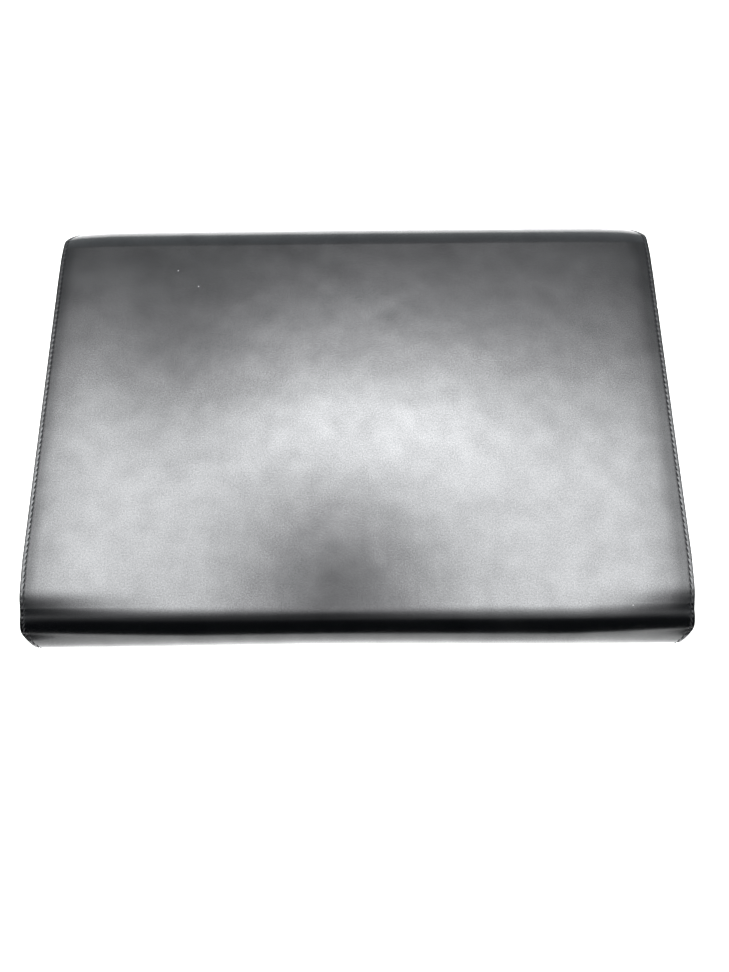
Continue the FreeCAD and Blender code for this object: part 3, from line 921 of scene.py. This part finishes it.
def calf_leather(name, base, lighter, rough, coat, marks=(), dents=()):
    """Smooth glazed calf: slow waves, fine ripples and grain, and pores that take a little off the glaze."""
    n = Nodes(name)
    flat = n.place()
    slow = n.bump(n.noise(flat, 14.0, 2.0, 0.45), 0.9 * MM, 0.5)
    for x, s, radius in dents:
        slow = n.bump(round_spot(n, flat, x, s, radius), -DENT_DEPTH, 1.0, slow)
    ripples = n.noise(n.place((1.0, 0.45, 1.0)), 170.0, 2.5, 0.5)
    slow = n.bump(ripples, 0.08 * MM, 0.35, slow)
    pores = n.noise(flat, 1250.0, 1.5, 0.55)
    fine = n.noise(flat, 2600.0, 1.0, 0.5)
    normal = n.bump(n.math("ADD", pores, fine), 0.03 * MM, 0.30, slow)
    wear = n.noise(flat, 30.0, 3.0, 0.55)
    smudge = n.noise(flat, 75.0, 2.0, 0.5)
    roughness = n.range(wear, 0.25, 0.75, rough - 0.035, rough + 0.045)
    glaze = n.math("ADD", n.range(pores, 0.2, 0.8, -0.42, 0.42), n.range(smudge, 0.2, 0.8, -0.18, 0.18))
    glaze = n.math("ADD", glaze, n.range(fine, 0.2, 0.8, coat - 0.35, coat + 0.35))
    colour = n.mix(smudge, base, lighter)
    for x, s in marks:
        colour = n.mix(round_spot(n, flat, x, s, MARK_RADIUS), colour, MARK_COLOUR)
    return n.finish(Base_Color=colour, Roughness=roughness, Normal=normal, IOR=1.5, Coat_Weight=glaze,
                    Coat_Roughness=rough, Coat_Normal=normal)


def fabric(name, dark, light):
    """Plain woven lining cloth."""
    n = Nodes(name)
    flat = n.place()
    warp, weft = [
        n.add("ShaderNodeTexWave", {"Vector": flat, "Scale": 420.0, "Distortion": 1.2},
              bands_direction=direction).outputs["Fac"]
        for direction in ("X", "Y")]
    weave = n.math("MULTIPLY", warp, weft)
    shade = n.math("ADD", n.math("MULTIPLY", weave, 0.7), n.math("MULTIPLY", n.noise(flat, 90.0, 4.0), 0.4))
    return n.finish(Base_Color=n.mix(shade, dark, light), Roughness=0.85,
                    Normal=n.bump(weave, 0.12 * MM, 0.6), Sheen_Weight=0.3)


def thread_material():
    """Twisted black thread."""
    n = Nodes("waxed_thread")
    flat = n.add("ShaderNodeUVMap", uv_map="sheet").outputs[0]
    twist = n.add("ShaderNodeTexWave", {"Vector": flat, "Scale": 3.2, "Distortion": 0.4},
                  bands_direction="DIAGONAL").outputs["Fac"]
    colour = n.mix(twist, (0.002, 0.002, 0.0025, 1), (0.012, 0.012, 0.014, 1))
    return n.finish(Base_Color=colour, Roughness=0.6, Specular_IOR_Level=0.25,
                    Normal=n.bump(twist, 0.06 * MM, 0.7))


def plain(name, dark, light, rough, metal=0.0, scale=300.0):
    """A quiet surface with a little variation in colour and gloss."""
    n = Nodes(name)
    grain = n.noise(n.place(source="Object"), scale, 4.0, 0.6)
    return n.finish(Base_Color=n.mix(grain, dark, light), Metallic=metal,
                    Roughness=n.range(grain, 0.3, 0.7, rough - 0.06, rough + 0.06),
                    Normal=n.bump(grain, 0.05 * MM, 0.4))


# ---------------------------------------------------------------- camera, floor and lights

def camera():
    """The main view: from above the near edge, looking steeply down."""
    place_at = Vector((5.95, -163.3, 431.2)) * MM
    pitch, yaw, roll = math.radians(73.2), math.radians(-0.657), math.radians(-1.127)
    forward = Vector((math.sin(yaw) * math.cos(pitch), math.cos(yaw) * math.cos(pitch), -math.sin(pitch)))
    level = Vector((math.cos(yaw), -math.sin(yaw), 0.0))
    up = level.cross(forward)
    right = level * math.cos(roll) + up * math.sin(roll)
    up = up * math.cos(roll) - level * math.sin(roll)
    data = bpy.data.cameras.new("camera")
    data.lens = 27.4
    data.sensor_width = 36.0
    data.clip_start = 0.01
    obj = bpy.data.objects.new("camera", data)
    obj.matrix_world = Matrix((right, up, -forward)).transposed().to_4x4()
    obj.location = place_at
    scene.collection.objects.link(obj)
    scene.camera = obj


def card(name, corners, material, seen=False):
    """A flat stage piece, which the camera sees only if it is to be seen."""
    mesh = bpy.data.meshes.new(name)
    mesh.from_pydata(corners, [], [list(range(len(corners)))])
    obj = bpy.data.objects.new(name, mesh)
    scene.collection.objects.link(obj)
    mesh.materials.append(material)
    obj.visible_camera = seen


def ramp(n, value, low, high, stops):
    """A smooth curve through (value, result) stops."""
    where = n.range(value, low, high, 0, 1)
    node = n.add("ShaderNodeValToRGB", {0: where})
    node.color_ramp.interpolation = "B_SPLINE"
    while len(node.color_ramp.elements) < len(stops):
        node.color_ramp.elements.new(0.5)
    for element, (at, result) in zip(node.color_ramp.elements, stops):
        element.position = (at - low) / (high - low)
        element.color = (result, result, result, 1)
    return node.outputs[0]


# The overhead light: its height, its reach in x and in y, and its power.
LIGHT_Z = 1.4
LIGHT_X = 1.7
LIGHT_Y = (-1.5, 1.35)
LIGHT_COLOUR = (0.965, 0.98, 1.0, 1)
LIGHT_POWER = 11.2
# How bright it is along y, and away from its middle in x.
LIGHT_ALONG = [
    (-1.5, 0.0), (-1.3, 0.03), (-1.1, 0.10), (-0.8, 0.20), (-0.5, 0.42), (-0.25, 0.80),
    (0.0, 1.08), (0.15, 1.2), (0.36, 1.12), (0.52, 0.98), (0.64, 0.69),
    (0.74, 0.47), (0.86, 0.25), (1.0, 0.09), (1.12, 0.055), (1.35, 0.05),
]
LIGHT_MIDDLE = -0.04
LIGHT_ACROSS = [(0.0, 1.0), (0.6, 1.0), (0.78, 0.97), (0.9, 0.7), (1.05, 0.38), (1.3, 0.2), (1.7, 0.12)]
# Soft round places in it, each (x, y, half width, half depth, amount): two where its far end comes nearer, one
# that is brighter, and the operator's soft shadows.
LIGHT_VALLEYS = [(-0.47, 0.66, 0.18, 0.28, 0.24), (0.58, 0.62, 0.30, 0.24, 0.12)]
LIGHT_GLOW = (0.0, 0.50, 0.38, 0.13, 0.95)
LIGHT_SHADOWS = [
    (-0.07, 0.12, 0.235, 0.29, 0.97), (-0.10, -0.75, 0.35, 0.55, 0.95), (-0.70, -1.0, 0.80, 0.55, 0.75),
    (-0.06, -0.18, 0.22, 0.22, 0.60),
]
# The dark card on the viewer's side: its place in y, and its outline in x and z.
FLAG_Y = -0.43
FLAG_OUTLINE = [(-0.9, -0.0001), (0.1, -0.0001), (0.2, 0.004), (0.9, 0.01), (0.9, 0.40), (-0.9, 0.40)]
TABLE_HALF = 4.0
TABLE_Z = -0.0002


def soft_place(n, x, y, centre_x, centre_y, wide, deep, amount):
    """An amount at a centre, falling softly to 0 around it."""
    return n.math("MULTIPLY", hill(n, x, y, centre_x, centre_y, wide, deep), amount)


def overhead_light():
    """A wide soft light above the case, brightest over the near half, with the operator's soft shape in it."""
    n = Nodes("overhead_light")
    where = n.add("ShaderNodeTexCoord").outputs["Object"]
    axes = n.add("ShaderNodeSeparateXYZ", {0: where}).outputs
    x, y = axes[0], axes[1]
    valleys = n.math("ADD", *[soft_place(n, x, y, *valley) for valley in LIGHT_VALLEYS])
    level = ramp(n, n.math("ADD", y, valleys), *LIGHT_Y, LIGHT_ALONG)
    level = n.math("ADD", level, soft_place(n, x, y, *LIGHT_GLOW))
    sides = ramp(n, n.math("ABSOLUTE", n.math("SUBTRACT", x, LIGHT_MIDDLE)), 0.0, LIGHT_X, LIGHT_ACROSS)
    level = n.math("MULTIPLY", level, sides)
    for shadow in LIGHT_SHADOWS:
        level = n.math("MULTIPLY", level, n.math("SUBTRACT", 1.0, soft_place(n, x, y, *shadow)))
    strength = n.math("MULTIPLY", level, LIGHT_POWER)
    glow = n.add("ShaderNodeEmission", {"Color": LIGHT_COLOUR, "Strength": strength})
    n.tree.nodes.remove(n.shader)
    n.tree.links.new(glow.outputs[0], n.output.inputs[0])
    near, far = LIGHT_Y
    card("overhead", [
        (-LIGHT_X, near, LIGHT_Z), (-LIGHT_X, far, LIGHT_Z), (LIGHT_X, far, LIGHT_Z), (LIGHT_X, near, LIGHT_Z),
    ], n.material)


def studio():
    """The surroundings: a pale world, a white table, a dark card on the viewer's side and the light above."""
    world = bpy.data.worlds.new("studio")
    world.use_nodes = True
    background = world.node_tree.nodes["Background"]
    background.inputs[0].default_value = (0.90, 0.96, 1.0, 1)
    background.inputs[1].default_value = 0.75
    scene.world = world
    white = Nodes("white_table").finish(Base_Color=(0.55, 0.55, 0.545, 1), Roughness=0.7,
                                        Emission_Color=(1.0, 1.0, 0.99, 1), Emission_Strength=0.9)
    black = Nodes("black_flag").finish(Base_Color=(0.003, 0.003, 0.003, 1), Roughness=1.0,
                                       Specular_IOR_Level=0.0)
    sides = [(-1, -1), (1, -1), (1, 1), (-1, 1)]
    card("table", [(TABLE_HALF * x, TABLE_HALF * y, TABLE_Z) for x, y in sides], white, True)
    card("operator_flag", [(x, FLAG_Y, z) for x, z in FLAG_OUTLINE], black)
    overhead_light()
    scene.view_settings.view_transform = "Standard"
    scene.view_settings.look = "None"


# ---------------------------------------------------------------- the object

# The fold's lining lies deeper where it meets the linings of the two panels.
FOLD_CLOTH_KEYS = [
    (S_FOLD, 2.4 * MM), (S_FOLD + 5 * MM, SKIN + CLOTH_GAP), (S_BACK - 5 * MM, SKIN + CLOTH_GAP),
    (S_BACK, 2.6 * MM),
]


def case_and_flap(leather):
    """The outer leather of the case and of the flap."""
    place(sheet_object("case_leather", [
        sheet_mesh(S_BACK, S_TURN, PANEL_STEP), sheet_mesh(S_TURN, S_FRONT, BEND_STEP),
        sheet_mesh(S_FRONT, S_MOUTH, FLAT_STEP, 0.0, S_MOUTH, MOUTH_CORNER),
    ], 0.0, SKIN), "case", leather, "outer_leather", "case_skin")
    place(sheet_object("flap_leather", [sheet_mesh(0.0, S_FOLD, FLAT_STEP, 0.0, 0.0, CORNER)], 0.0, SKIN),
          "flap", leather, "outer_leather", "flap_skin")


def fold(number, leather, cloth):
    """The leather and the lining of one quarter of the fold. The CAD model has links for the first three."""
    low, high, _, _ = bend_zone(number)
    skins = [f"fold_skin_{number}"] if number < 4 else []
    linings = [f"fold_lining_{number}"] if number < 4 else []
    place(sheet_object(f"fold_leather_{number}", [sheet_mesh(low, high, BEND_STEP)], 0.0, SKIN),
          number, leather, "outer_leather", *skins)
    place(sheet_object(f"fold_cloth_{number}", [sheet_mesh(low, high, BEND_STEP, CLOTH_MARGIN)],
                       lambda s: between(FOLD_CLOTH_KEYS, s), LINING), number, cloth, "lining_fabric", *linings)


def flap_lining(cloth):
    """The lining of the flap."""
    place(sheet_object("flap_cloth", [
        sheet_mesh(CLOTH_MARGIN, S_FOLD, FLAT_STEP, CLOTH_MARGIN, CLOTH_MARGIN, CORNER),
    ], FLAP_STACK - LINING, LINING), "flap", cloth, "lining_fabric", "flap_lining")


def kept_nodes(board, steel):
    """New materials for the CAD nodes that stay in the picture: two boards and the magnets."""
    kept = {"front_board": board, "flap_board": board}
    for name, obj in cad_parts.items():
        finish = steel if "magnet" in name else kept.get(name)
        if finish:
            obj.data.materials.clear()
            obj.data.materials.append(finish)


def build():
    """The whole briefcase."""
    outer = calf_leather("black_box_calf", (0.0003, 0.0005, 0.0008, 1), (0.0008, 0.0010, 0.0014, 1), 0.20, 0.55,
                         MARKS, DENTS)
    inner = calf_leather("gusset_calf", (0.004, 0.004, 0.0045, 1), (0.008, 0.008, 0.009, 1), 0.42, 0.45)
    paint = plain("edge_paint", (0.002, 0.002, 0.002, 1), (0.005, 0.005, 0.006, 1), 0.3, scale=700.0)
    cloth = fabric("lining_cloth", (0.012, 0.012, 0.014, 1), (0.045, 0.045, 0.05, 1))
    board = plain("fibre_board", (0.16, 0.12, 0.08, 1), (0.26, 0.21, 0.15, 1), 0.8)
    steel = plain("magnet_plate", (0.45, 0.45, 0.46, 1), (0.6, 0.6, 0.61, 1), 0.25, 1.0)
    # The second material is painted shade: near-black patches over the stitch holes.
    thread = [thread_material(), plain("painted_hole_shade", (0.0005, 0.0005, 0.0005, 1), (0.001, 0.001, 0.001, 1), 0.9)]

    case_and_flap(outer)
    for number in (1, 2, 3, 4):
        fold(number, outer, cloth)
    flap_lining(cloth)
    edge_paint(paint)
    stitch_pieces(thread)
    gusset(-1, inner)
    gusset(1, inner)
    case_lining(cloth)
    stiffeners(board)
    divider(inner)
    facing(inner)
    kept_nodes(board, steel)


camera()
studio()
build()
